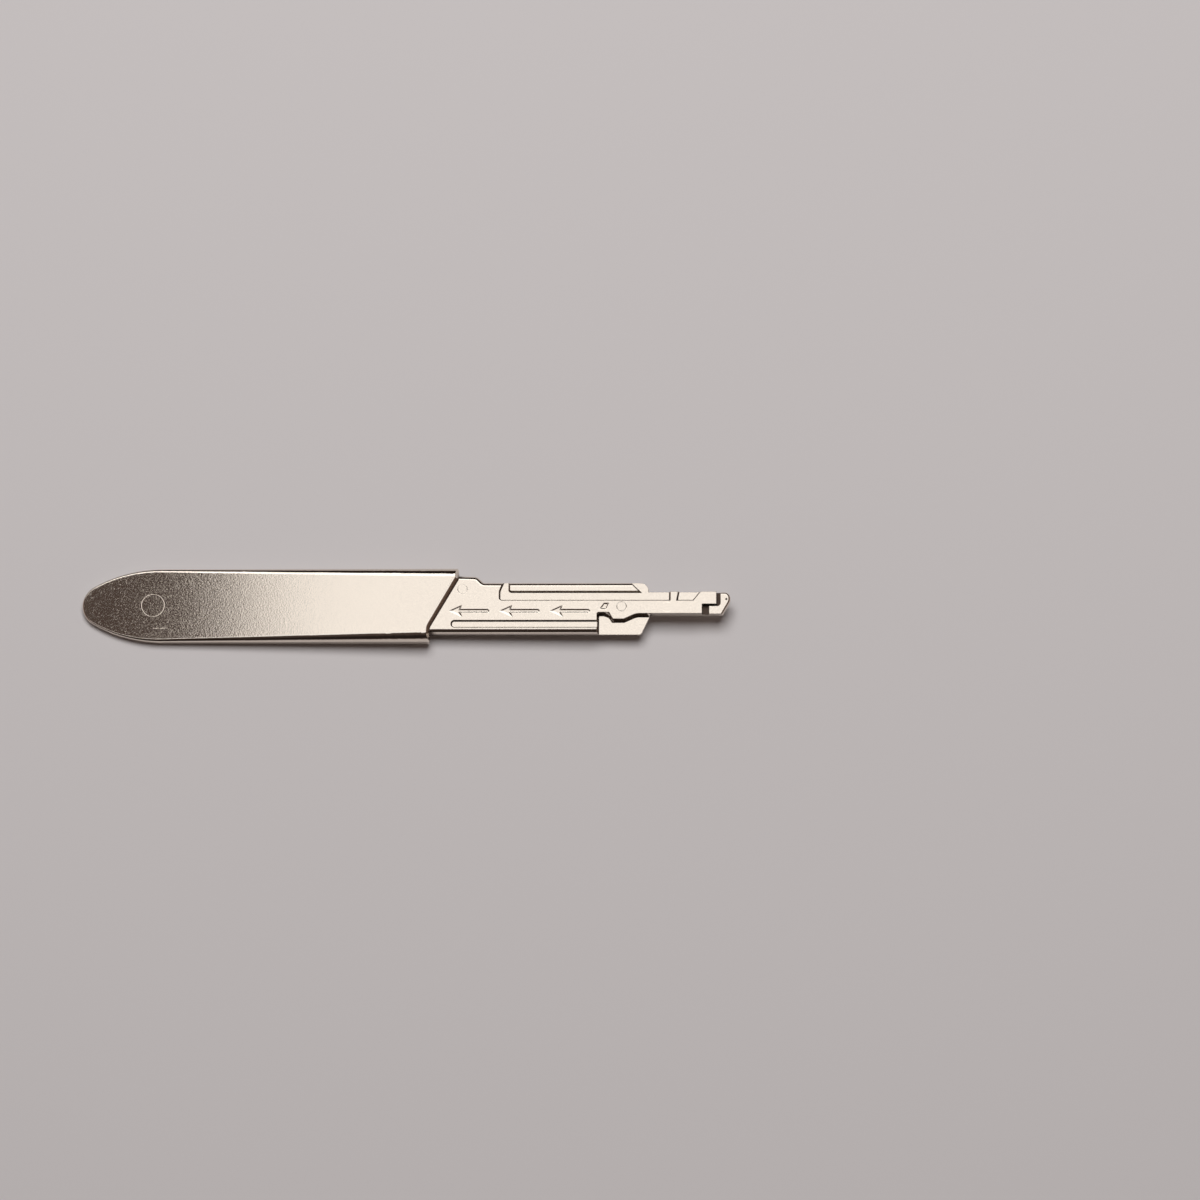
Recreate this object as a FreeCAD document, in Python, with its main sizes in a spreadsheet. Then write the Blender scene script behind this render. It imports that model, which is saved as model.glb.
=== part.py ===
import FreeCAD, Part
import math
import os
import Sketcher

# Scalpel handle, one investment-cast piece of stainless steel, in millimetres and degrees.
# It is drawn with X from the tail to the blade end, Y across and Z from the middle of the
# thickness up. At the end it is turned to lie on the lower face of its wedge-shaped grip.

doc = FreeCAD.newDocument("scalpel_handle")

# A sketch's own names for its origin and its X axis.
ORIGIN = (-1, 1)
X_AXIS = -1
UP = FreeCAD.Vector(0, 0, 1)

SIZES = [
    ("overall_length", 130.0, "tail to the end of the blade fitting"),
    ("grip_width", 15.1, "across the flat grip"),
    ("grip_long_side", 75.5, "tail to the grip's end on its far side"),
    ("grip_end_setback", 5.8, "how much sooner the grip ends on its near side"),
    ("tail_thickness", 1.4, "thickness at the tail"),
    ("step_thickness", 5.5, "thickness where the grip ends"),
    ("nose_radius", 4.4, "arc round the tail"),
    ("flank_radius", 27.5, "arcs from the tail to the parallel sides"),
    ("tail_edge_radius", 0.25, "rounding of the long edges at the tail"),
    ("step_edge_radius", 1.85, "rounding of the long edges at the grip's end"),
    ("step_wall_angle", 26.0, "lean of the grip's end wall"),
    ("step_far_margin", 2.35, "square stretch of the end line on the far side"),
    ("step_near_margin", 2.65, "square stretch of the end line on the near side"),
    ("step_corner_radius", 0.65, "upright corner of the grip's far end"),
    ("step_bend_radius", 2.5, "bend where the slanted line turns square"),
    ("neck_thickness", 2.8, "thickness of the neck"),
    ("neck_far", 4.68, "centre line to the neck's far side"),
    ("neck_near", 5.78, "centre line to the neck's near side"),
    ("neck_edge_radius", 0.84, "rounding of the neck's long edges"),
    ("shoulder_height", 1.57, "how far the shoulder stands out from the neck at the grip"),
    ("shoulder_length", 3.7, "grip's end to where the shoulder comes in"),
    ("shoulder_loss", 0.3, "how much the shoulder loses over its length"),
    ("shoulder_run", 1.3, "length over which the shoulder comes in"),
    ("shoulder_radius", 1.3, "outer curve of the shoulder"),
    ("shoulder_foot_radius", 0.7, "inner curve at the shoulder's foot"),
    ("groove_gap", 4.3, "grip's near end to the rounded end of the groove"),
    ("groove_width", 1.55, "width of the groove on the near side"),
    ("groove_margin", 1.06, "ridge between the groove and the neck's near side"),
    ("groove_depth", 0.45, "depth of the groove"),
    ("recess_gap", 8.1, "grip's far end to the curved end of the blade recess"),
    ("recess_near", 0.87, "centre line to the recess's near wall"),
    ("recess_depth", 0.55, "depth of the blade recess"),
    ("recess_wall_angle", 25.0, "lean of the walls of the recesses and the groove"),
    ("recess_near_radius", 0.6, "near corner of the recess's end"),
    ("recess_far_radius", 1.6, "far corner of the recess's end"),
    ("mouth_slant", 0.76, "run of the recess's end wall out to the neck's side"),
    ("mouth_width", 1.44, "mouth of the recess at the neck's side"),
    ("rail_width", 1.8, "rail between the recess and the far side"),
    ("rail_radius", 0.3, "corner where the rail starts"),
    ("rail_back", 18.4, "tip back to the end of the rail at its inner wall"),
    ("rail_slant", 1.9, "how much sooner the rail ends at the far side"),
    ("web_back", 16.35, "tip back to the rounded web past the rail"),
    ("web_radius", 1.65, "corner of the web"),
    ("fitting_far", 2.75, "centre line to the fitting's far side"),
    ("fitting_near", 1.75, "centre line to the fitting's near side"),
    ("fitting_thickness", 2.2, "thickness of the blade fitting"),
    ("ear_back", 18.9, "tip back to where the ear's slope meets the fitting"),
    ("ear_slope", 2.45, "length of the ear's slope"),
    ("ear_length", 2.15, "straight edge of the ear that hangs over the lobe"),
    ("ear_drop", 1.13, "how far the ear hangs past the fitting's near side"),
    ("ear_slope_radius", 3.0, "bend from the ear's slope to the fitting"),
    ("ear_start_slant", 0.8, "slant of the wall from the ear up to the bay"),
    ("bay_length", 2.45, "length of the bay cut behind the lobe"),
    ("bay_near", 1.5, "centre line to the floor of the bay"),
    ("bay_radius", 0.35, "inner corner of the bay"),
    ("lobe_thickness", 1.1, "thin plate under the ear"),
    ("lobe_wall_angle", 13.0, "lean of the wall above the lobe"),
    ("lobe_back", 16.0, "tip back to the end of the lobe at the fitting"),
    ("lobe_slant", 1.9, "how much sooner the lobe ends at its near edge"),
    ("bridge_back", 10.85, "tip back to the bridge between the two recesses"),
    ("bridge_width", 1.15, "width of the bridge"),
    ("bridge_slant", 0.35, "how much wider the bridge is at the far side"),
    ("block_back", 7.4, "tip back to the locking block at the near wall"),
    ("block_slant", 1.5, "how far the block's start slants"),
    ("channel_back", 2.0, "tip back to the far wall of the channel's cross arm"),
    ("cross_arm_width", 0.8, "width of the channel's cross arm"),
    ("long_arm_width", 0.34, "width of the channel's long arm"),
    ("long_arm_far", 0.2, "centre line to the long arm's far wall"),
    ("channel_depth", 1.2, "depth of the locking channel"),
    ("channel_radius", 0.6, "outer bend of the channel"),
    ("notch_back", 4.28, "tip back to the entry notch"),
    ("notch_width", 1.4, "width of the entry notch"),
    ("tip_drop", 0.45, "how far the tip plate lies below the block"),
    ("tip_radius", 1.2, "far corner of the tip"),
    ("tip_bend_radius", 1.5, "bend into the tip's slanted end"),
    ("tip_square", 0.9, "centre line to where the tip's end starts to slant"),
    ("tip_slant", 1.5, "how much sooner the tip ends at its near side"),
    ("tip_edge_radius", 0.45, "rounding of the tip plate's upper edge"),
    ("overcut", 1.0, "how far cuts run past the solid"),
]

sheet = doc.addObject("Spreadsheet::Sheet", "dim")
for row, (alias, number, meaning) in enumerate(SIZES, start=1):
    sheet.set(f"A{row}", meaning)
    sheet.set(f"B{row}", str(number))
    sheet.setAlias(f"B{row}", alias)
doc.recompute()


def value(text):
    """The number that an expression on the sheet's cells stands for."""
    return float(sheet.evalExpression(text))


def flat_sketch(body, name, role="XY_Plane", height=None):
    """A sketch on one of the body's origin planes, lifted by height along its normal."""
    sketch = body.newObject("Sketcher::SketchObject", name)
    plane = next(o for o in body.Origin.OriginFeatures if o.Role == role)
    sketch.AttachmentSupport = [(plane, "")]
    sketch.MapMode = "FlatFace"
    if height:
        sketch.setExpression("AttachmentOffset.Base.z", height)
    return sketch


def bind(sketch, constraint, text):
    """Adds a constraint whose value follows an expression."""
    index = sketch.addConstraint(constraint)
    sketch.setExpression(f"Constraints[{index}]", text)


def place(sketch, geometry, end, x_text, y_text):
    """Fixes a point of the sketch at two expressions, counted from the origin."""
    bind(sketch, Sketcher.Constraint("DistanceX", *ORIGIN, geometry, end, value(x_text)), x_text)
    bind(sketch, Sketcher.Constraint("DistanceY", *ORIGIN, geometry, end, value(y_text)), y_text)


def outline(sketch, corners):
    """A closed outline through corners (x, y) or (x, y, radius), each an expression."""
    spots = [FreeCAD.Vector(value(corner[0]), value(corner[1]), 0) for corner in corners]
    radii = [value(corner[2]) if len(corner) > 2 else 0.0 for corner in corners]
    count = len(corners)
    arrive, leave, centres = [], [], []
    for i in range(count):
        back = (spots[i - 1] - spots[i]).normalize()
        ahead = (spots[(i + 1) % count] - spots[i]).normalize()
        half_angle = back.getAngle(ahead) / 2
        reach = radii[i] / math.tan(half_angle)
        arrive.append(spots[i] + back * reach)
        leave.append(spots[i] + ahead * reach)
        centres.append(spots[i] + (back + ahead).normalize() * (radii[i] / math.sin(half_angle)))
    lines = [
        sketch.addGeometry(Part.LineSegment(leave[i], arrive[(i + 1) % count]), False)
        for i in range(count)
    ]
    for i, corner in enumerate(corners):
        before, after = lines[i - 1], lines[i]
        if not radii[i]:
            sketch.addConstraint(Sketcher.Constraint("Coincident", before, 2, after, 1))
            place(sketch, after, 1, corner[0], corner[1])
            continue
        left_turn = (spots[i] - spots[i - 1]).cross(leave[i] - spots[i]).z > 0
        first, last = (arrive[i], leave[i]) if left_turn else (leave[i], arrive[i])
        circle = Part.Circle(centres[i], UP, radii[i])
        arc = Part.ArcOfCircle(circle, circle.parameter(first), circle.parameter(last))
        bend = sketch.addGeometry(arc, False)
        apex = sketch.addGeometry(Part.Point(spots[i]), True)
        arrive_end, leave_end = (1, 2) if left_turn else (2, 1)
        sketch.addConstraint(Sketcher.Constraint("PointOnObject", apex, 1, before))
        sketch.addConstraint(Sketcher.Constraint("PointOnObject", apex, 1, after))
        sketch.addConstraint(Sketcher.Constraint("Tangent", before, 2, bend, arrive_end))
        sketch.addConstraint(Sketcher.Constraint("Tangent", after, 1, bend, leave_end))
        place(sketch, apex, 1, corner[0], corner[1])
        bind(sketch, Sketcher.Constraint("Radius", bend, radii[i]), corner[2])


def pad(body, sketch, name, length, midplane=False, reverse=False, refine=True):
    """Adds material over a sketch."""
    feature = body.newObject("PartDesign::Pad", name)
    feature.Profile = sketch
    feature.setExpression("Length", length)
    feature.Midplane = midplane
    feature.Reversed = reverse
    feature.Refine = refine
    doc.recompute()
    return feature


def pocket(body, sketch, name, depth, midplane=False, reverse=False, draft=None, refine=True):
    """Takes material away under a sketch, and makes sure that it did."""
    volume = body.Shape.Volume
    feature = body.newObject("PartDesign::Pocket", name)
    feature.Profile = sketch
    feature.setExpression("Length", depth)
    feature.Midplane = midplane
    feature.Reversed = reverse
    feature.Refine = refine
    if draft:
        feature.setExpression("TaperAngle", draft)
    doc.recompute()
    if body.Shape.Volume > volume - 0.001:
        raise RuntimeError(f"{name} cut nothing")
    return feature


# The grip's outline: a small arc round the tail, two long arcs and two parallel sides.
# The blank runs on past the grip's end, which is cut to the rounded edges later.
HALF_WIDTH = "dim.grip_width / 2"
FLANK_CENTRE_Y = "(dim.grip_width / 2 - dim.flank_radius)"
FLANK_CENTRE_X = (
    "(dim.nose_radius + sqrt((dim.flank_radius - dim.nose_radius) ^ 2"
    " - (dim.flank_radius - dim.grip_width / 2) ^ 2))"
)
BLANK_END = "(dim.grip_long_side + dim.overcut)"
HALF_STEP = "dim.step_thickness / 2"
HALF_TAIL = "dim.tail_thickness / 2"
SLOPE = "((dim.step_thickness - dim.tail_thickness) / 2 / dim.grip_long_side)"
SIDE_STRETCHES = 4

blank = doc.addObject("PartDesign::Body", "grip_blank")
plan = flat_sketch(blank, "grip_plan")
nose_radius, flank_radius = value("dim.nose_radius"), value("dim.flank_radius")
flank_x, flank_y = value(FLANK_CENTRE_X), value(FLANK_CENTRE_Y)
half_width, blank_end = value(HALF_WIDTH), value(BLANK_END)
meeting_angle = math.atan2(-flank_y, flank_x - nose_radius)


def plan_arc(x, y, radius, start, end):
    """One arc of the grip's outline, anticlockwise."""
    circle = Part.Circle(FreeCAD.Vector(x, y, 0), UP, radius)
    return plan.addGeometry(Part.ArcOfCircle(circle, start, end), False)


def plan_line(x1, y1, x2, y2):
    """One straight line of the grip's outline."""
    return plan.addGeometry(Part.LineSegment(FreeCAD.Vector(x1, y1, 0), FreeCAD.Vector(x2, y2, 0)), False)


def straight_side(y, from_x, to_x):
    """One parallel side of the grip, in equal stretches, so that its rounding grows evenly."""
    step = (to_x - from_x) / SIDE_STRETCHES
    lines = [
        plan_line(from_x + step * i, y, from_x + step * (i + 1), y)
        for i in range(SIDE_STRETCHES)
    ]
    for line in lines:
        plan.addConstraint(Sketcher.Constraint("Horizontal", line))
    for before, after in zip(lines, lines[1:]):
        plan.addConstraint(Sketcher.Constraint("Coincident", before, 2, after, 1))
        plan.addConstraint(Sketcher.Constraint("Equal", before, after))
    return lines


nose = plan_arc(nose_radius, 0, nose_radius, math.pi - meeting_angle, math.pi + meeting_angle)
far_flank = plan_arc(flank_x, flank_y, flank_radius, math.pi / 2, math.pi - meeting_angle)
near_flank = plan_arc(flank_x, -flank_y, flank_radius, math.pi + meeting_angle, 1.5 * math.pi)
far_side = straight_side(half_width, blank_end, flank_x)
near_side = straight_side(-half_width, flank_x, blank_end)
end_line = plan_line(blank_end, -half_width, blank_end, half_width)
plan.addConstraint([
    Sketcher.Constraint("Tangent", far_side[-1], 2, far_flank, 1),
    Sketcher.Constraint("Tangent", far_flank, 2, nose, 1),
    Sketcher.Constraint("Tangent", nose, 2, near_flank, 1),
    Sketcher.Constraint("Tangent", near_flank, 2, near_side[0], 1),
    Sketcher.Constraint("Coincident", near_side[-1], 2, end_line, 1),
    Sketcher.Constraint("Coincident", end_line, 2, far_side[0], 1),
    Sketcher.Constraint("PointOnObject", nose, 3, X_AXIS),
    Sketcher.Constraint("Equal", far_flank, near_flank),
])
bind(plan, Sketcher.Constraint("Radius", nose, nose_radius), "dim.nose_radius")
bind(plan, Sketcher.Constraint("Radius", far_flank, flank_radius), "dim.flank_radius")
bind(plan, Sketcher.Constraint("DistanceX", *ORIGIN, nose, 3, nose_radius), "dim.nose_radius")
place(plan, end_line, 1, BLANK_END, "-dim.grip_width / 2")
bind(plan, Sketcher.Constraint("DistanceY", *ORIGIN, end_line, 2, half_width), HALF_WIDTH)
pad(blank, plan, "grip_slab", "dim.step_thickness + 2 * dim.overcut", midplane=True, refine=False)

# The grip's two faces close up towards the tail like a slim wedge, cut from above and below.
WEDGE_END = f"({BLANK_END} + dim.overcut)"
FACE_BEFORE_TAIL = f"({HALF_TAIL} - {SLOPE} * dim.overcut)"
FACE_PAST_END = f"({HALF_TAIL} + {SLOPE} * {WEDGE_END})"
PAST_FACE = f"({HALF_STEP} + 2 * dim.overcut)"
faces = flat_sketch(blank, "grip_faces", role="XZ_Plane")
for sign in ("", "-"):
    outline(faces, [
        ("-dim.overcut", sign + FACE_BEFORE_TAIL),
        (WEDGE_END, sign + FACE_PAST_END),
        (WEDGE_END, sign + PAST_FACE),
        ("-dim.overcut", sign + PAST_FACE),
    ])
pocket(blank, faces, "grip_wedge", "dim.grip_width + 2 * dim.overcut", midplane=True, refine=False)

# The long edges of both faces are rounded, with a radius that grows from the tail to the step.
EDGE_GROWTH = "((dim.step_edge_radius - dim.tail_edge_radius) / dim.grip_long_side)"


def edge_radius(x):
    """Radius of the grip's long edges at a distance from the tail."""
    return value("dim.tail_edge_radius") + value(EDGE_GROWTH) * x


def on_a_face(point):
    """Whether a point lies on one of the grip's two faces, away from the blank's cut end."""
    half_thickness = value(HALF_TAIL) + value(SLOPE) * point.x
    return abs(abs(point.z) - half_thickness) < 1e-6


rounded = doc.addObject("Part::Fillet", "grip_rounded")
rounded.Base = blank
rounded_edges = []
for index, edge in enumerate(blank.Shape.Edges, start=1):
    first, last = edge.Vertexes[0].Point, edge.Vertexes[-1].Point
    across_the_end = abs(first.x - blank_end) + abs(last.x - blank_end) < 1e-6
    if on_a_face(first) and on_a_face(last) and first.z * last.z > 0 and not across_the_end:
        rounded_edges.append((index, edge_radius(first.x), edge_radius(last.x)))
rounded.Edges = rounded_edges
doc.recompute()

grip = doc.addObject("PartDesign::Body", "grip")
grip.BaseFeature = rounded
doc.recompute()

# The grip ends in a short square stretch on each side, joined by a slanted line across it.
# Between the neck's faces the end wall stands square. Past them it leans back to the grip's face.
HALF_NECK = "(dim.neck_thickness / 2)"
PAST_SIDE = "(dim.grip_width / 2 + dim.overcut)"
GRIP_NEAR_END = "(dim.grip_long_side - dim.grip_end_setback)"
END_LINE = [
    ("dim.grip_long_side", PAST_SIDE),
    ("dim.grip_long_side", "dim.grip_width / 2 - dim.step_far_margin"),
    (GRIP_NEAR_END, "-(dim.grip_width / 2 - dim.step_near_margin)", "dim.step_bend_radius"),
    (GRIP_NEAR_END, "-" + PAST_SIDE),
    (WEDGE_END, "-" + PAST_SIDE),
    (WEDGE_END, PAST_SIDE),
]
end_cut = flat_sketch(grip, "grip_end_line")
outline(end_cut, END_LINE)
pocket(grip, end_cut, "grip_end", "dim.step_thickness + 2 * dim.overcut", midplane=True)
for face, sign in (("upper", ""), ("lower", "-")):
    foot = flat_sketch(grip, f"{face}_step_foot", height=sign + HALF_NECK)
    outline(foot, END_LINE)
    pocket(grip, foot, f"{face}_step", f"{HALF_STEP} - {HALF_NECK} + dim.overcut",
           reverse=sign == "", draft="dim.step_wall_angle")


# The far corner of the grip's end is rounded off upright, which leaves the faces' edges alone.
CORNER_X = "dim.grip_long_side"
CORNER_Y = "dim.grip_width / 2"
BESIDE_CORNER = "1.2 * dim.step_corner_radius"
corner_plan = flat_sketch(grip, "far_corner_plan")
outline(corner_plan, [
    (f"{CORNER_X} - {BESIDE_CORNER}", CORNER_Y),
    (CORNER_X, CORNER_Y, "dim.step_corner_radius"),
    (CORNER_X, f"{CORNER_Y} - {BESIDE_CORNER}"),
    (f"{CORNER_X} + dim.overcut", f"{CORNER_Y} - {BESIDE_CORNER}"),
    (f"{CORNER_X} + dim.overcut", PAST_SIDE),
    (f"{CORNER_X} - {BESIDE_CORNER}", PAST_SIDE),
])
pocket(grip, corner_plan, "far_corner", "dim.step_thickness + 2 * dim.overcut", midplane=True)


def edges_where(feature, wanted):
    """Names of the feature's edges whose two ends both satisfy a test."""
    return [
        f"Edge{index}"
        for index, edge in enumerate(feature.Shape.Edges, start=1)
        if len(edge.Vertexes) == 2 and all(wanted(vertex.Point) for vertex in edge.Vertexes)
    ]


def round_edges(body, feature, wanted, name, radius):
    """Rounds the chosen edges and the ones that run on from them."""
    fillet = body.newObject("PartDesign::Fillet", name)
    fillet.Base = (feature, edges_where(feature, wanted))
    fillet.setExpression("Radius", radius)
    doc.recompute()
    return fillet


def near_to(a, b):
    """Whether two lengths are the same."""
    return abs(a - b) < 1e-6


# Places along the front are counted from the grip's end or back from the tip, so the fitting
# keeps its shape when the neck gets longer.
def past_grip(text):
    """X of a place that lies this far past the grip's far end."""
    return f"(dim.grip_long_side + {text})"


def from_tip(text):
    """X of a place that lies this far back from the tip."""
    return f"(dim.overall_length - ({text}))"


# The neck is a thinner bar that sits a little off the grip's centre line. A shoulder stands
# beside the grip on the far side, and a rounded web closes the neck there.
NECK_ROOT = f"({GRIP_NEAR_END} - dim.overcut)"
SHOULDER_END = past_grip("dim.shoulder_length")
SHOULDER_FOOT = past_grip("dim.shoulder_length + dim.shoulder_run")
SHOULDER_FAR = "(dim.neck_far + dim.shoulder_height)"
LOBE_END_NEAR = from_tip("dim.lobe_back + dim.lobe_slant")
LOBE_END_FAR = from_tip("dim.lobe_back")
WEB_END = from_tip("dim.web_back")
front = doc.addObject("PartDesign::Body", "front")
neck_plan = flat_sketch(front, "neck_plan")
outline(neck_plan, [
    (NECK_ROOT, "-dim.neck_near"),
    (LOBE_END_NEAR, "-dim.neck_near"),
    (LOBE_END_FAR, "-dim.fitting_near"),
    (WEB_END, "dim.fitting_near"),
    (WEB_END, "dim.neck_far", "dim.web_radius"),
    (SHOULDER_FOOT, "dim.neck_far", "dim.shoulder_foot_radius"),
    (SHOULDER_END, SHOULDER_FAR + " - dim.shoulder_loss", "dim.shoulder_radius"),
    (NECK_ROOT, SHOULDER_FAR),
])
neck = pad(front, neck_plan, "neck", "dim.neck_thickness", midplane=True)

half_neck = value(HALF_NECK)
neck_far, neck_near = value("dim.neck_far"), value("dim.neck_near")


def on_neck_edge(point):
    """Whether a point lies on one of the neck's four long edges."""
    at_side = near_to(point.y, neck_far) or near_to(point.y, -neck_near)
    return at_side and near_to(abs(point.z), half_neck)


round_edges(front, neck, on_neck_edge, "neck_edges", "dim.neck_edge_radius")

# On the near side the bar stops short in a stepped edge, with a bay and a hanging ear. What is
# left below it is the lobe, a thin plate flush with the neck's underside.
PAST_NEAR_SIDE = "(dim.neck_near + dim.overcut)"
PAST_LOBE = f"({LOBE_END_FAR} + dim.overcut)"
EAR_END = "dim.ear_back + dim.ear_slope"
EAR_START = EAR_END + " + dim.ear_length"
BAY_END = EAR_START + " + dim.ear_start_slant"
NECK_NEAR_END = from_tip(BAY_END + " + dim.bay_length")
lobe_cut = flat_sketch(front, "lobe_cut_plan", height=HALF_NECK)
outline(lobe_cut, [
    (NECK_NEAR_END, "-" + PAST_NEAR_SIDE),
    (PAST_LOBE, "-" + PAST_NEAR_SIDE),
    (PAST_LOBE, "-dim.fitting_near"),
    (from_tip("dim.ear_back"), "-dim.fitting_near", "dim.ear_slope_radius"),
    (from_tip(EAR_END), "-(dim.fitting_near + dim.ear_drop)"),
    (from_tip(EAR_START), "-(dim.fitting_near + dim.ear_drop)"),
    (from_tip(BAY_END), "-dim.bay_near"),
    (NECK_NEAR_END, "-dim.bay_near", "dim.bay_radius"),
])
pocket(front, lobe_cut, "lobe_cut", "dim.neck_thickness - dim.lobe_thickness", draft="-dim.lobe_wall_angle")

# The blade fitting carries on from the neck's upper face and is thinner from below.
FITTING_ROOT = f"({WEB_END} - dim.overcut)"
fitting_plan = flat_sketch(front, "fitting_plan", height=HALF_NECK)
outline(fitting_plan, [
    (FITTING_ROOT, "-dim.fitting_near"),
    (from_tip("dim.tip_slant"), "-dim.fitting_near"),
    ("dim.overall_length", "dim.tip_square", "dim.tip_bend_radius"),
    ("dim.overall_length", "dim.fitting_far", "dim.tip_radius"),
    (FITTING_ROOT, "dim.fitting_far"),
])
pad(front, fitting_plan, "blade_fitting", "dim.fitting_thickness", reverse=True)

# The blade lies in a shallow recess beside a rail. The recess opens through the far side in
# a narrow mouth near the grip, and again past the rail's slanted end up to the bridge.
PAST_FAR = "(dim.neck_far + dim.overcut)"
RAIL_NEAR = "(dim.neck_far - dim.rail_width)"
RAIL_END_PAST = f"dim.rail_back + dim.rail_slant * ({PAST_FAR} - {RAIL_NEAR}) / dim.rail_width"
RAIL_START = past_grip("dim.recess_gap + dim.mouth_slant + dim.mouth_width")
MOUTH_PAST = f"dim.recess_gap + dim.mouth_slant * ({PAST_FAR} - {RAIL_NEAR}) / dim.rail_width"
BRIDGE_START = from_tip("dim.bridge_back + dim.bridge_width")
recess_plan = flat_sketch(front, "recess_plan", height=HALF_NECK)
outline(recess_plan, [
    (past_grip("dim.recess_gap"), "dim.recess_near", "dim.recess_near_radius"),
    (BRIDGE_START, "dim.recess_near"),
    (BRIDGE_START, PAST_FAR),
    (from_tip(RAIL_END_PAST), PAST_FAR),
    (from_tip("dim.rail_back"), RAIL_NEAR),
    (RAIL_START, RAIL_NEAR, "dim.rail_radius"),
    (RAIL_START, PAST_FAR),
    (past_grip(MOUTH_PAST), PAST_FAR),
    (past_grip("dim.recess_gap"), RAIL_NEAR, "dim.recess_far_radius"),
])
pocket(front, recess_plan, "blade_recess", "dim.recess_depth", draft="-dim.recess_wall_angle")

# A second recess lies between the bridge and the slanted start of the locking block.
PAST_FITTING = "(dim.fitting_far + dim.overcut)"
SLANT_PAST = "((dim.fitting_far + dim.overcut - dim.recess_near) / (dim.fitting_far - dim.recess_near))"
window_plan = flat_sketch(front, "window_plan", height=HALF_NECK)
outline(window_plan, [
    (from_tip("dim.bridge_back"), "dim.recess_near"),
    (from_tip("dim.block_back"), "dim.recess_near"),
    (from_tip(f"dim.block_back - dim.block_slant * {SLANT_PAST}"), PAST_FITTING),
    (from_tip(f"dim.bridge_back - dim.bridge_slant * {SLANT_PAST}"), PAST_FITTING),
])
pocket(front, window_plan, "window_recess", "dim.recess_depth", draft="-dim.recess_wall_angle")

# A groove with a rounded end runs along the near side and opens towards the lobe.
GROOVE_START = f"({GRIP_NEAR_END} + dim.groove_gap)"
GROOVE_END = f"({NECK_NEAR_END} + dim.overcut)"
GROOVE_NEAR = "-(dim.neck_near - dim.groove_margin)"
GROOVE_FAR = "-(dim.neck_near - dim.groove_margin - dim.groove_width)"
GROOVE_RADIUS = "dim.groove_width * 0.45"
groove_plan = flat_sketch(front, "groove_plan", height=HALF_NECK)
outline(groove_plan, [
    (GROOVE_START, GROOVE_NEAR, GROOVE_RADIUS),
    (GROOVE_END, GROOVE_NEAR),
    (GROOVE_END, GROOVE_FAR),
    (GROOVE_START, GROOVE_FAR, GROOVE_RADIUS),
])
pocket(front, groove_plan, "near_groove", "dim.groove_depth", draft="-dim.recess_wall_angle")

# The tip plate lies lower than the locking block. Between them runs the stepped channel that
# the blade's slot hooks into: an entry notch, a long arm and a cross arm out to the far side.
PAST_FITTING_NEAR = "-(dim.fitting_near + dim.overcut)"
PAST_TIP = "(dim.overall_length + dim.overcut)"
LONG_ARM_NEAR = "(dim.long_arm_far - dim.long_arm_width)"
MID_ARM = "(dim.long_arm_far - dim.long_arm_width / 2)"
MID_NOTCH = from_tip("dim.notch_back + dim.notch_width / 2")
MID_CROSS_ARM = from_tip("dim.channel_back + dim.cross_arm_width / 2")
tip_plan = flat_sketch(front, "tip_plan", height=HALF_NECK)
outline(tip_plan, [
    (MID_NOTCH, PAST_FITTING_NEAR),
    (PAST_TIP, PAST_FITTING_NEAR),
    (PAST_TIP, PAST_FITTING),
    (MID_CROSS_ARM, PAST_FITTING),
    (MID_CROSS_ARM, MID_ARM),
    (MID_NOTCH, MID_ARM),
])
pocket(front, tip_plan, "tip_plate", "dim.tip_drop")

NOTCH_START = from_tip("dim.notch_back + dim.notch_width")
CROSS_ARM_START = from_tip("dim.channel_back + dim.cross_arm_width")
channel_plan = flat_sketch(front, "channel_plan", height=HALF_NECK)
outline(channel_plan, [
    (NOTCH_START, PAST_FITTING_NEAR),
    (from_tip("dim.notch_back"), PAST_FITTING_NEAR),
    (from_tip("dim.notch_back"), LONG_ARM_NEAR),
    (from_tip("dim.channel_back"), LONG_ARM_NEAR, "dim.channel_radius"),
    (from_tip("dim.channel_back"), PAST_FITTING),
    (CROSS_ARM_START, PAST_FITTING),
    (CROSS_ARM_START, "dim.long_arm_far"),
    (NOTCH_START, "dim.long_arm_far"),
])
channel = pocket(front, channel_plan, "locking_channel", "dim.channel_depth")

tip_top = half_neck - value("dim.tip_drop")
tip_slant_start = value(from_tip("dim.tip_slant"))


def on_tip_end(point):
    """Whether a point lies on the upper edge of the tip's slanted end."""
    return near_to(point.z, tip_top) and (point.x > tip_slant_start or near_to(point.x, tip_slant_start))


round_edges(front, channel, on_tip_end, "tip_edge", "dim.tip_edge_radius")

# Grip and front are cast in one. The piece lies on the lower face of its grip, with the origin
# at the bottom centre.
handle = doc.addObject("Part::Fuse", "handle")
handle.Label = "scalpel_handle"
handle.Base = grip
handle.Tool = front
handle.Refine = True
REST_TILT = f"atan({SLOPE})"
handle.Placement = FreeCAD.Placement(
    FreeCAD.Vector(0, 0, 0), FreeCAD.Rotation(FreeCAD.Vector(0, -1, 0), 1.0))
handle.setExpression("Placement.Rotation.Angle", REST_TILT)
handle.setExpression("Placement.Base.x", f"-dim.overall_length / 2 * cos({REST_TILT})")
handle.setExpression("Placement.Base.z", f"{HALF_TAIL} * cos({REST_TILT})")
doc.recompute()

for thing in doc.Objects:
    if "Invalid" in thing.State or "Error" in thing.State:
        raise RuntimeError(f"{thing.Name} could not be worked out")
if handle.Shape.isNull() or not handle.Shape.isValid() or len(handle.Shape.Solids) != 1:
    raise RuntimeError("the handle is not one sound solid")

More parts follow.
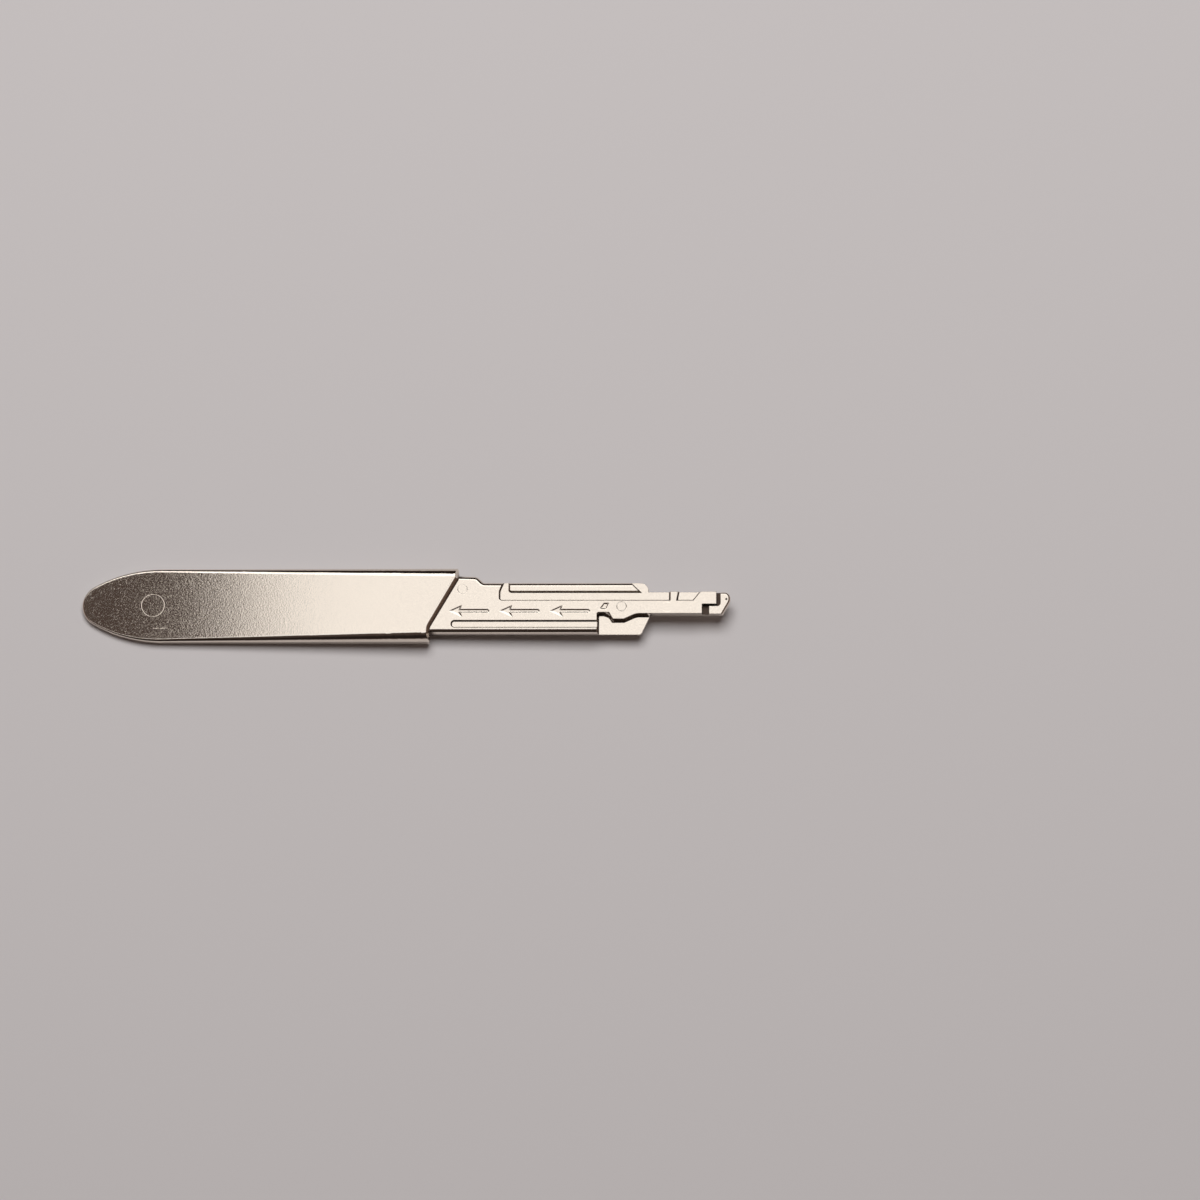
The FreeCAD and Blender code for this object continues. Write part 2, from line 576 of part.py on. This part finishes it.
os.makedirs("parts", exist_ok=True)
handle.Shape.exportStep(f"parts/{handle.Label}.step")
box = handle.Shape.optimalBoundingBox(False, False)
print(f"{handle.Label}: {box.XLength:.2f} x {box.YLength:.2f} x {box.ZLength:.2f} mm,"
      f" {handle.Shape.Volume / 1000:.3f} cm3")
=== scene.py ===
import math

import bmesh
import bpy
from mathutils import Matrix, Vector


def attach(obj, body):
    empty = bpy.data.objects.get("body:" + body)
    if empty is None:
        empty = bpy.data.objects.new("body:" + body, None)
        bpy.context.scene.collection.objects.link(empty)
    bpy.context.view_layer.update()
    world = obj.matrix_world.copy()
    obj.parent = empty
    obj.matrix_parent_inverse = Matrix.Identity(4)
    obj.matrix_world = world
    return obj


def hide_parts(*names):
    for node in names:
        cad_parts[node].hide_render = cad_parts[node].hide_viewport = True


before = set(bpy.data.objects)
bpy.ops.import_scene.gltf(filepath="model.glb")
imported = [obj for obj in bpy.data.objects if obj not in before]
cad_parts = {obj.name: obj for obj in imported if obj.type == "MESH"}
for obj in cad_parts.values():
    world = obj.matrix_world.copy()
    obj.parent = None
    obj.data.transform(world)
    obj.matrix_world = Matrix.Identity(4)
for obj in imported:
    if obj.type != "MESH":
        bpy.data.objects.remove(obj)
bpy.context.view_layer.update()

# The camera looks down on the handle from its near side, a little off the vertical, and the
# handle lies in the left part of a square picture.
PICTURE_WIDTH = 0.2406
SENSOR_WIDTH = 36.0
CAMERA_DISTANCE = 2.0
CAMERA_ELEVATION = math.radians(75.0)
CAMERA_ROLL = math.radians(0.39)
AIM = Vector((0.03883, 0.00136, 0.0035))
camera_data = bpy.data.cameras.new("camera")
camera_data.sensor_width = SENSOR_WIDTH
camera_data.lens = SENSOR_WIDTH * CAMERA_DISTANCE / PICTURE_WIDTH
camera = bpy.data.objects.new("camera", camera_data)
bpy.context.scene.collection.objects.link(camera)
towards_camera = Vector((0.0, -math.cos(CAMERA_ELEVATION), math.sin(CAMERA_ELEVATION)))
camera.matrix_world = (
    Matrix.Translation(AIM + towards_camera * CAMERA_DISTANCE)
    @ towards_camera.to_track_quat("Z", "Y").to_matrix().to_4x4()
    @ Matrix.Rotation(CAMERA_ROLL, 4, "Z")
)
bpy.context.scene.camera = camera
bpy.context.scene.view_settings.view_transform = "Standard"


# The two flat faces that carry marks are the upper faces of the neck and of the grip. The handle
# lies on its wedge-shaped grip, so both lean a little towards the tail.
HALF_TAIL = 0.0007
HALF_NECK = 0.0014
TAIL = Vector((-0.06498, 0.0, HALF_TAIL))
GRIP_LENGTH = 0.0755
GRIP_RISE = 0.00205
grip_slope = math.atan(GRIP_RISE / GRIP_LENGTH)
neck_lean = Matrix.Rotation(-grip_slope, 4, "Y")
grip_lean = Matrix.Rotation(-2 * grip_slope, 4, "Y")
neck_face = Matrix.Translation(TAIL) @ neck_lean @ Matrix.Translation((0.0, 0.0, HALF_NECK))
grip_face = Matrix.Translation(TAIL) @ grip_lean @ Matrix.Translation((0.0, 0.0, HALF_TAIL))

# The handle is one investment casting of stainless steel, polished all over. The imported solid
# gives its form. Facets in one plane are joined, so that a flat face mirrors as a flat sheet
# does, and each corner keeps the true slope of the surface there.
WELD_GAP = 1e-7
FLAT_ANGLE = math.radians(0.3)
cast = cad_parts["scalpel_handle"].data.copy()
true_normals = [part for corner in cast.corner_normals for part in corner.vector]
kept_slopes = cast.attributes.new("true_normal", "FLOAT_VECTOR", "CORNER")
kept_slopes.data.foreach_set("vector", true_normals)
casting = bmesh.new()
casting.from_mesh(cast)
bmesh.ops.remove_doubles(casting, verts=casting.verts, dist=WELD_GAP)
bmesh.ops.dissolve_limit(
    casting, angle_limit=FLAT_ANGLE, verts=casting.verts, edges=casting.edges
)

# Polishing has rolled the rim of the grip's two faces down a little, in a narrow band, and more
# so towards the step. The grip's faces are the two largest of the casting.
ROLL_WIDTH = 0.0003
ROLL_AT_TAIL = math.radians(1.8)
ROLL_AT_STEP = math.radians(5.0)
ROUNDING_LIMIT = math.radians(45.0)
slope_layer = casting.loops.layers.float_vector["true_normal"]
for face in sorted(casting.faces, key=lambda one: one.calc_area())[-2:]:
    upright = face.normal.copy()
    band = bmesh.ops.inset_region(
        casting, faces=[face], thickness=ROLL_WIDTH, use_even_offset=True
    )["faces"]
    # Each outer corner of the band gets its direction away from the face.
    outward = {}
    for piece in band:
        for edge in piece.edges:
            if not any(vert in face.verts for vert in edge.verts):
                away = (edge.verts[1].co - edge.verts[0].co).cross(upright)
                if away.dot(edge.verts[0].co - piece.calc_center_median()) < 0:
                    away.negate()
                for vert in edge.verts:
                    outward[vert] = outward.get(vert, Vector()) + away.normalized()
    for vert, away in outward.items():
        share = (vert.co.x - TAIL.x) / GRIP_LENGTH
        roll = ROLL_AT_TAIL + (ROLL_AT_STEP - ROLL_AT_TAIL) * share
        rolled = (upright + away.normalized() * math.tan(roll)).normalized()
        for corner in vert.link_loops:
            if corner.face.normal.angle(upright) < ROUNDING_LIMIT:
                corner[slope_layer] = rolled
casting.to_mesh(cast)
casting.free()
handle = bpy.data.objects.new("handle", cast)
bpy.context.scene.collection.objects.link(handle)


# Marks are struck into the two faces with shallow, leaning walls. Each is made by a cutter whose
# walls cross the face along the mark's outline, and places on a face are given along it from the
# tail and across it from the centre line.
RING_STEPS = 48


def cutter_from(name, mesh):
    """Turns a closed bmesh into a cutter object."""
    bmesh.ops.recalc_face_normals(mesh, faces=mesh.faces)
    data = bpy.data.meshes.new(name)
    mesh.to_mesh(data)
    mesh.free()
    cutter = bpy.data.objects.new(name, data)
    bpy.context.scene.collection.objects.link(cutter)
    return cutter


def drawn_in(outline, distance):
    """An anticlockwise outline moved inwards on every side, or outwards by a negative distance."""
    moved = []
    for i, corner in enumerate(outline):
        here = Vector(corner)
        into = (here - Vector(outline[i - 1])).normalized()
        onward = (Vector(outline[(i + 1) % len(outline)]) - here).normalized()
        inward = Vector((-into.y - onward.y, into.x + onward.x))
        moved.append(here + inward * (distance / (1 + into.dot(onward))))
    return moved


def struck_mark(name, face, outline, depth, draft):
    """A cutter with a flat floor, whose walls lean in by draft from the face to the floor."""
    mesh = bmesh.new()
    rim = [mesh.verts.new(face @ Vector((x, y, depth))) for x, y in drawn_in(outline, -draft)]
    floor = [mesh.verts.new(face @ Vector((x, y, -depth))) for x, y in drawn_in(outline, draft)]
    mesh.faces.new(rim)
    mesh.faces.new(list(reversed(floor)))
    for i in range(len(rim)):
        j = (i + 1) % len(rim)
        mesh.faces.new((rim[i], floor[i], floor[j], rim[j]))
    return cutter_from(name, mesh)


def ring_mark(name, face, x, y, radius, half_width, depth):
    """A cutter for a V-shaped ring."""
    mesh = bmesh.new()
    profile = [(-2 * half_width, depth), (2 * half_width, depth), (0.0, -depth)]
    sections = []
    for i in range(RING_STEPS):
        turn = 2 * math.pi * i / RING_STEPS
        out = Vector((math.cos(turn), math.sin(turn), 0.0))
        sections.append([
            mesh.verts.new(face @ (Vector((x, y, height)) + out * (radius + across)))
            for across, height in profile
        ])
    for i in range(RING_STEPS):
        here, following = sections[i - 1], sections[i]
        for k in range(len(profile)):
            mesh.faces.new((here[k - 1], here[k], following[k], following[k - 1]))
    return cutter_from(name, mesh)


# Three arrows on the neck point towards the grip. Their barbs sweep back a little and their
# shafts have a round end.
ARROW_TIPS = [0.0735, 0.0836, 0.0937]
ARROW_Y = -0.00125
ARROW_LENGTH = 0.00823
HEAD_LENGTH = 0.00247
HEAD_HALF = 0.00132
BARB_SWEEP = 0.00034
SHAFT_HALF = 0.00042
SHAFT_END_STEPS = 6
ARROW_DEPTH = 0.00007
ARROW_DRAFT = 0.00032
cutters = []
for number, tip in enumerate(ARROW_TIPS, start=1):
    head_end = tip + HEAD_LENGTH
    round_centre = tip + ARROW_LENGTH - SHAFT_HALF
    outline = [
        (tip, ARROW_Y),
        (head_end + BARB_SWEEP, ARROW_Y - HEAD_HALF),
        (head_end, ARROW_Y - SHAFT_HALF),
    ]
    for step in range(SHAFT_END_STEPS + 1):
        turn = math.pi * (step / SHAFT_END_STEPS - 0.5)
        outline.append((
            round_centre + SHAFT_HALF * math.cos(turn),
            ARROW_Y + SHAFT_HALF * math.sin(turn),
        ))
    outline += [
        (head_end, ARROW_Y + SHAFT_HALF),
        (head_end + BARB_SWEEP, ARROW_Y + HEAD_HALF),
    ]
    cutters.append(struck_mark(
        f"arrow_{number}", neck_face, outline, depth=ARROW_DEPTH, draft=ARROW_DRAFT
    ))

# A slanted oblong on the fitting and a small round pit on the plate at the tip, which lies lower
# than the neck's face, are struck in the same way.
OBLONG = [(0.10369, -0.0009), (0.10515, -0.0009), (0.10578, 0.00043), (0.10463, 0.00043)]
TIP_DROP = 0.00045
PIT_X = 0.1292
PIT_Y = 0.00128
PIT_RADIUS = 0.0002
PIT_STEPS = 10
cutters.append(struck_mark("oblong", neck_face, OBLONG, depth=0.00007, draft=0.0003))
tip_face = neck_face @ Matrix.Translation((0.0, 0.0, -TIP_DROP))
pit = []
for step in range(PIT_STEPS):
    turn = 2 * math.pi * step / PIT_STEPS
    pit.append((PIT_X + PIT_RADIUS * math.cos(turn), PIT_Y + PIT_RADIUS * math.sin(turn)))
cutters.append(struck_mark("pit", tip_face, pit, depth=0.0003, draft=0.00006))

# Round pins of the mould left V-shaped rings, a large faint one on the grip and three small ones
# on the shoulder, the fitting and its bridge.
cutters.append(ring_mark(
    "grip_ring", grip_face, x=0.01428, y=0.0, radius=0.0023, half_width=0.00012, depth=0.000005
))
cutters.append(ring_mark(
    "fitting_ring", neck_face,
    x=0.1082, y=-0.00035, radius=0.00095, half_width=0.00007, depth=0.00003
))
cutters.append(ring_mark(
    "shoulder_ring", neck_face,
    x=0.07627, y=0.0032, radius=0.00095, half_width=0.00006, depth=0.00002
))
cutters.append(ring_mark(
    "bridge_ring", neck_face,
    x=0.1173, y=-0.0004, radius=0.001, half_width=0.00004, depth=0.000005
))

# The grip has one scratch near its ring, broken in the middle and as fine as a hair. It runs
# nearly along the grip.
SCRATCH_SPANS = [(0.0143, 0.0155), (0.0158, 0.0172)]
SCRATCH_Y = -0.00481
SCRATCH_WIDTH = 0.00007
SCRATCH_DRIFT = 0.00002
for number, (start, end) in enumerate(SCRATCH_SPANS, start=1):
    scratch = [
        (start, SCRATCH_Y),
        (end, SCRATCH_Y + SCRATCH_DRIFT),
        (end, SCRATCH_Y + SCRATCH_DRIFT + SCRATCH_WIDTH),
        (start, SCRATCH_Y + SCRATCH_WIDTH),
    ]
    cutters.append(struck_mark(
        f"scratch_{number}", grip_face, scratch, depth=0.000004, draft=0.00002
    ))

# The cutters take the marks out of the casting, which shades by its true slopes. The walls and
# floors of the marks bring none, only a vector of length 0, and shade flat.
SHORTEST_SLOPE = 0.5
for cutter in cutters:
    cut = handle.modifiers.new(cutter.name, "BOOLEAN")
    cut.operation = "DIFFERENCE"
    cut.solver = "EXACT"
    cut.object = cutter
depsgraph = bpy.context.evaluated_depsgraph_get()
struck = bpy.data.meshes.new_from_object(handle.evaluated_get(depsgraph))
handle.modifiers.clear()
handle.data = struck
for cutter in cutters:
    bpy.data.objects.remove(cutter)
struck.shade_smooth()
corner_normals = []
for face in struck.polygons:
    for corner in face.loop_indices:
        normal = Vector(struck.attributes["true_normal"].data[corner].vector)
        if normal.length < SHORTEST_SLOPE:
            normal = face.normal.copy()
        corner_normals.append(normal.normalized())
struck.normals_split_custom_set(corner_normals)
struck.attributes.remove(struck.attributes["true_normal"])


# The steel is polished and slightly warm, and a fine speckle of the cast surface shows through
# the polish. Walls in the corners and the deep channel at the tip get painted brown shade, and
# are made rougher, where the ambient occlusion finds them enclosed.
class Value:
    """A shader socket that adds Math nodes when it is used in an expression."""

    def __init__(self, tree, socket):
        self.tree = tree
        self.socket = socket

    def node(self, kind, sockets=(), settings=(), output=0):
        """Adds a node: its settings first, then values or links into its sockets."""
        made = self.tree.nodes.new(kind)
        for name, setting in dict(settings).items():
            setattr(made, name, setting)
        for name, given in dict(sockets).items():
            if isinstance(given, Value):
                self.tree.links.new(given.socket, made.inputs[name])
            else:
                made.inputs[name].default_value = given
        return Value(self.tree, made.outputs[output])

    def math(self, operation, *operands):
        """Adds a Math node on one or two operands."""
        return self.node("ShaderNodeMath", dict(enumerate(operands)), {"operation": operation})

    def __add__(self, other):
        return self.math("ADD", self, other)

    __radd__ = __add__

    def __sub__(self, other):
        return self.math("SUBTRACT", self, other)

    def __rsub__(self, other):
        return self.math("SUBTRACT", other, self)

    def __mul__(self, other):
        return self.math("MULTIPLY", self, other)

    __rmul__ = __mul__

    def __abs__(self):
        return self.math("ABSOLUTE", self)

    def larger(self, other):
        return self.math("MAXIMUM", self, other)

    def part(self, axis):
        """One part of a vector: axis 0 is X, 1 is Y and 2 is Z."""
        return self.node("ShaderNodeSeparateXYZ", {"Vector": self}, output=axis)

    def reach(self, direction):
        """How far a vector reaches in a direction."""
        dot = {"operation": "DOT_PRODUCT"}
        return self.node("ShaderNodeVectorMath", {0: self, 1: direction}, dot, output=1)

    def passage(self, start, end, kind="SMOOTHSTEP"):
        """A mask that goes from 0 at start to 1 at end."""
        span = {"Value": self, "From Min": start, "From Max": end}
        return self.node("ShaderNodeMapRange", span, {"interpolation_type": kind})

    def noise(self, scale, detail, roughness=0.5):
        """Noise over a vector that gives a place."""
        look = {"Vector": self, "Scale": scale, "Detail": detail, "Roughness": roughness}
        return self.node("ShaderNodeTexNoise", look)

    def mixed(self, first, second):
        """The first colour where this mask is 0, and the second where it is 1."""
        colours = {0: self, 6: first, 7: second}
        return self.node("ShaderNodeMix", colours, {"data_type": "RGBA"}, output=2)


DULL_STEEL = (0.69, 0.62, 0.54, 1.0)
BRIGHT_STEEL = (0.93, 0.85, 0.75, 1.0)
SHADE_BROWN = (0.070, 0.045, 0.034, 1.0)
SHADE_STRENGTH = 0.96
LEVEL_TO_WALL = (0.93, 0.75)
CORNER_SIZE = 0.0015
OPEN_TO_CORNER = (0.94, 0.80)
OPEN_TO_CHANNEL = (0.99, 0.94)
CHANNEL_START = 0.1239
CHANNEL_FADE = 0.0002
SHADE_STARTS_BELOW = 0.0006
SHADE_FULL_BELOW = 0.0008
steel = bpy.data.materials.new("polished_steel")
steel.use_nodes = True
tree = steel.node_tree
shader = tree.nodes["Principled BSDF"]
shader.inputs["Metallic"].default_value = 1.0
coordinates = tree.nodes.new("ShaderNodeTexCoord").outputs
place = Value(tree, coordinates["Object"])
facing = Value(tree, coordinates["Normal"])
# Painted shade: walls in corners and the floor of the deep channel at the tip turn brown where the
# ambient occlusion finds them enclosed, standing in for the shade that falls there.
openness = place.node(
    "ShaderNodeAmbientOcclusion", {"Distance": CORNER_SIZE}, {"samples": 8, "only_local": True},
    output=1,
)
corner_walls = abs(facing.part(2)).passage(*LEVEL_TO_WALL) * openness.passage(*OPEN_TO_CORNER)
along = neck_face.col[0].to_3d()
upwards = neck_face.col[2].to_3d()
channel_start = along.dot(neck_face @ Vector((CHANNEL_START, 0.0, 0.0)))
at_tip = place.reach(along).passage(channel_start, channel_start + CHANNEL_FADE, "LINEAR")
face_height = upwards.dot(neck_face.translation)
sunk = place.reach(upwards).passage(
    face_height - SHADE_STARTS_BELOW, face_height - SHADE_FULL_BELOW, "LINEAR"
)
channel = at_tip * sunk * openness.passage(*OPEN_TO_CHANNEL, "LINEAR")
painted_shade = corner_walls.larger(channel)
speckle = place.noise(scale=3600.0, detail=2.0, roughness=0.7)
clean = speckle.mixed(DULL_STEEL, BRIGHT_STEEL)
# The painted brown shade is mixed over the clean steel colour.
colour = (painted_shade * SHADE_STRENGTH).mixed(clean, SHADE_BROWN)
tree.links.new(colour.socket, shader.inputs["Base Color"])

# The polish is a little uneven, and dull in the speckles and under the painted shade. The fine
# grain and a faint ripple of the casting show in it, and it has softened every edge.
POLISH_ROUGHNESS = 0.035
SMUDGE_ROUGHNESS = 0.03
SPECKLE_ROUGHNESS = 0.13
SHADE_ROUGHNESS = 0.35
DULL_SPECKLES = (0.42, 0.85)
GRAIN_HEIGHT = 0.000004
RIPPLE_HEIGHT = 0.000001
EDGE_RADIUS = 0.00014
smudge = place.noise(scale=90.0, detail=3.0)
dull = speckle.passage(*DULL_SPECKLES)
roughness = (
    smudge * SMUDGE_ROUGHNESS + dull * SPECKLE_ROUGHNESS + POLISH_ROUGHNESS
    + painted_shade * SHADE_ROUGHNESS
)
tree.links.new(roughness.socket, shader.inputs["Roughness"])
grain = place.noise(scale=3400.0, detail=2.0, roughness=0.6)
ripple = place.noise(scale=800.0, detail=1.0)
height = grain * GRAIN_HEIGHT + ripple * RIPPLE_HEIGHT
soft_edge = place.node("ShaderNodeBevel", {"Radius": EDGE_RADIUS}, {"samples": 6})
bump = place.node(
    "ShaderNodeBump", {"Height": height, "Normal": soft_edge, "Strength": 1.0, "Distance": 1.0}
)
tree.links.new(bump.socket, shader.inputs["Normal"])
handle.data.materials.clear()
handle.data.materials.append(steel)
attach(handle, "root")
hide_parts("scalpel_handle")


# The table is a sheet of white paper that is wider than the picture. It lies a hair below the
# handle, so that no two surfaces share one plane.
PAPER_HALF = 1.5
PAPER_GAP = 0.00002
PAPER_COLOUR = (0.62, 0.592, 0.592, 1.0)
PAPER_ROUGHNESS = 0.9
paper_mesh = bmesh.new()
bmesh.ops.create_grid(paper_mesh, x_segments=1, y_segments=1, size=PAPER_HALF)
paper_data = bpy.data.meshes.new("paper")
paper_mesh.to_mesh(paper_data)
paper_mesh.free()
paper = bpy.data.objects.new("paper", paper_data)
paper.location.z = -PAPER_GAP
bpy.context.scene.collection.objects.link(paper)
paper_white = bpy.data.materials.new("paper_white")
paper_white.use_nodes = True
paper_shader = paper_white.node_tree.nodes["Principled BSDF"]
paper_shader.inputs["Base Color"].default_value = PAPER_COLOUR
paper_shader.inputs["Roughness"].default_value = PAPER_ROUGHNESS
paper_data.materials.append(paper_white)


# Level soft boxes hang over the handle and give its flat faces their bright sheen. The middle
# one stops short on the left, so the tail of the grip mirrors the dim, warm room. The paper has
# a light of its own, which the steel doesn't show.
LAMP_HEIGHT = 1.2


def soft_box(name, left, right, near, far, brightness):
    """A level rectangular lamp, given by its edges and by the brightness of its face."""
    data = bpy.data.lights.new(name, "AREA")
    data.shape = "RECTANGLE"
    data.size = right - left
    data.size_y = far - near
    data.energy = brightness * math.pi * data.size * data.size_y
    lamp = bpy.data.objects.new(name, data)
    lamp.location = ((left + right) / 2, (near + far) / 2, LAMP_HEIGHT)
    bpy.context.scene.collection.objects.link(lamp)
    return lamp


soft_box("near_box", left=-0.50, right=0.30, near=-0.02, far=0.15, brightness=1.06)
soft_box("middle_box", left=-0.2085, right=0.30, near=0.15, far=0.41, brightness=1.06)
soft_box("far_box", left=-0.50, right=0.30, near=0.41, far=0.96, brightness=1.7)
paper_light = soft_box("paper_light", left=-0.45, right=0.50, near=0.08, far=0.80, brightness=5.7)
paper_light.visible_glossy = False

# The room round the table is dim and warm. It is darkest towards the near and the far side, and
# lighter beyond the tail and the tip and low down at the horizon.
ROOM_COLOUR = (1.0, 0.74, 0.65, 1.0)
ROOM_LEVEL = 0.074
SIDE_SHADE = 0.056
SIDE_SPAN = (0.25, 0.75)
TAIL_GLOW = 0.15
TAIL_SPAN = (-0.45, -0.85)
TIP_GLOW = 0.08
TIP_SPAN = (0.45, 0.85)
HORIZON_GLOW = 0.08
HORIZON_SPAN = (0.30, 0.10)
room = bpy.data.worlds.new("room")
room.use_nodes = True
room_tree = room.node_tree
sky = room_tree.nodes["Background"]
around = Value(room_tree, room_tree.nodes.new("ShaderNodeTexCoord").outputs["Generated"])
east, north, skyward = (around.part(axis) for axis in range(3))
sideways = abs(north).passage(*SIDE_SPAN)
tail_end = east.passage(*TAIL_SPAN)
tip_end = east.passage(*TIP_SPAN)
horizon = skyward.passage(*HORIZON_SPAN)
level = (
    ROOM_LEVEL - sideways * SIDE_SHADE
    + tail_end * TAIL_GLOW + tip_end * TIP_GLOW + horizon * HORIZON_GLOW
)
room_tree.links.new(level.socket, sky.inputs["Strength"])
sky.inputs["Color"].default_value = ROOM_COLOUR
bpy.context.scene.world = room
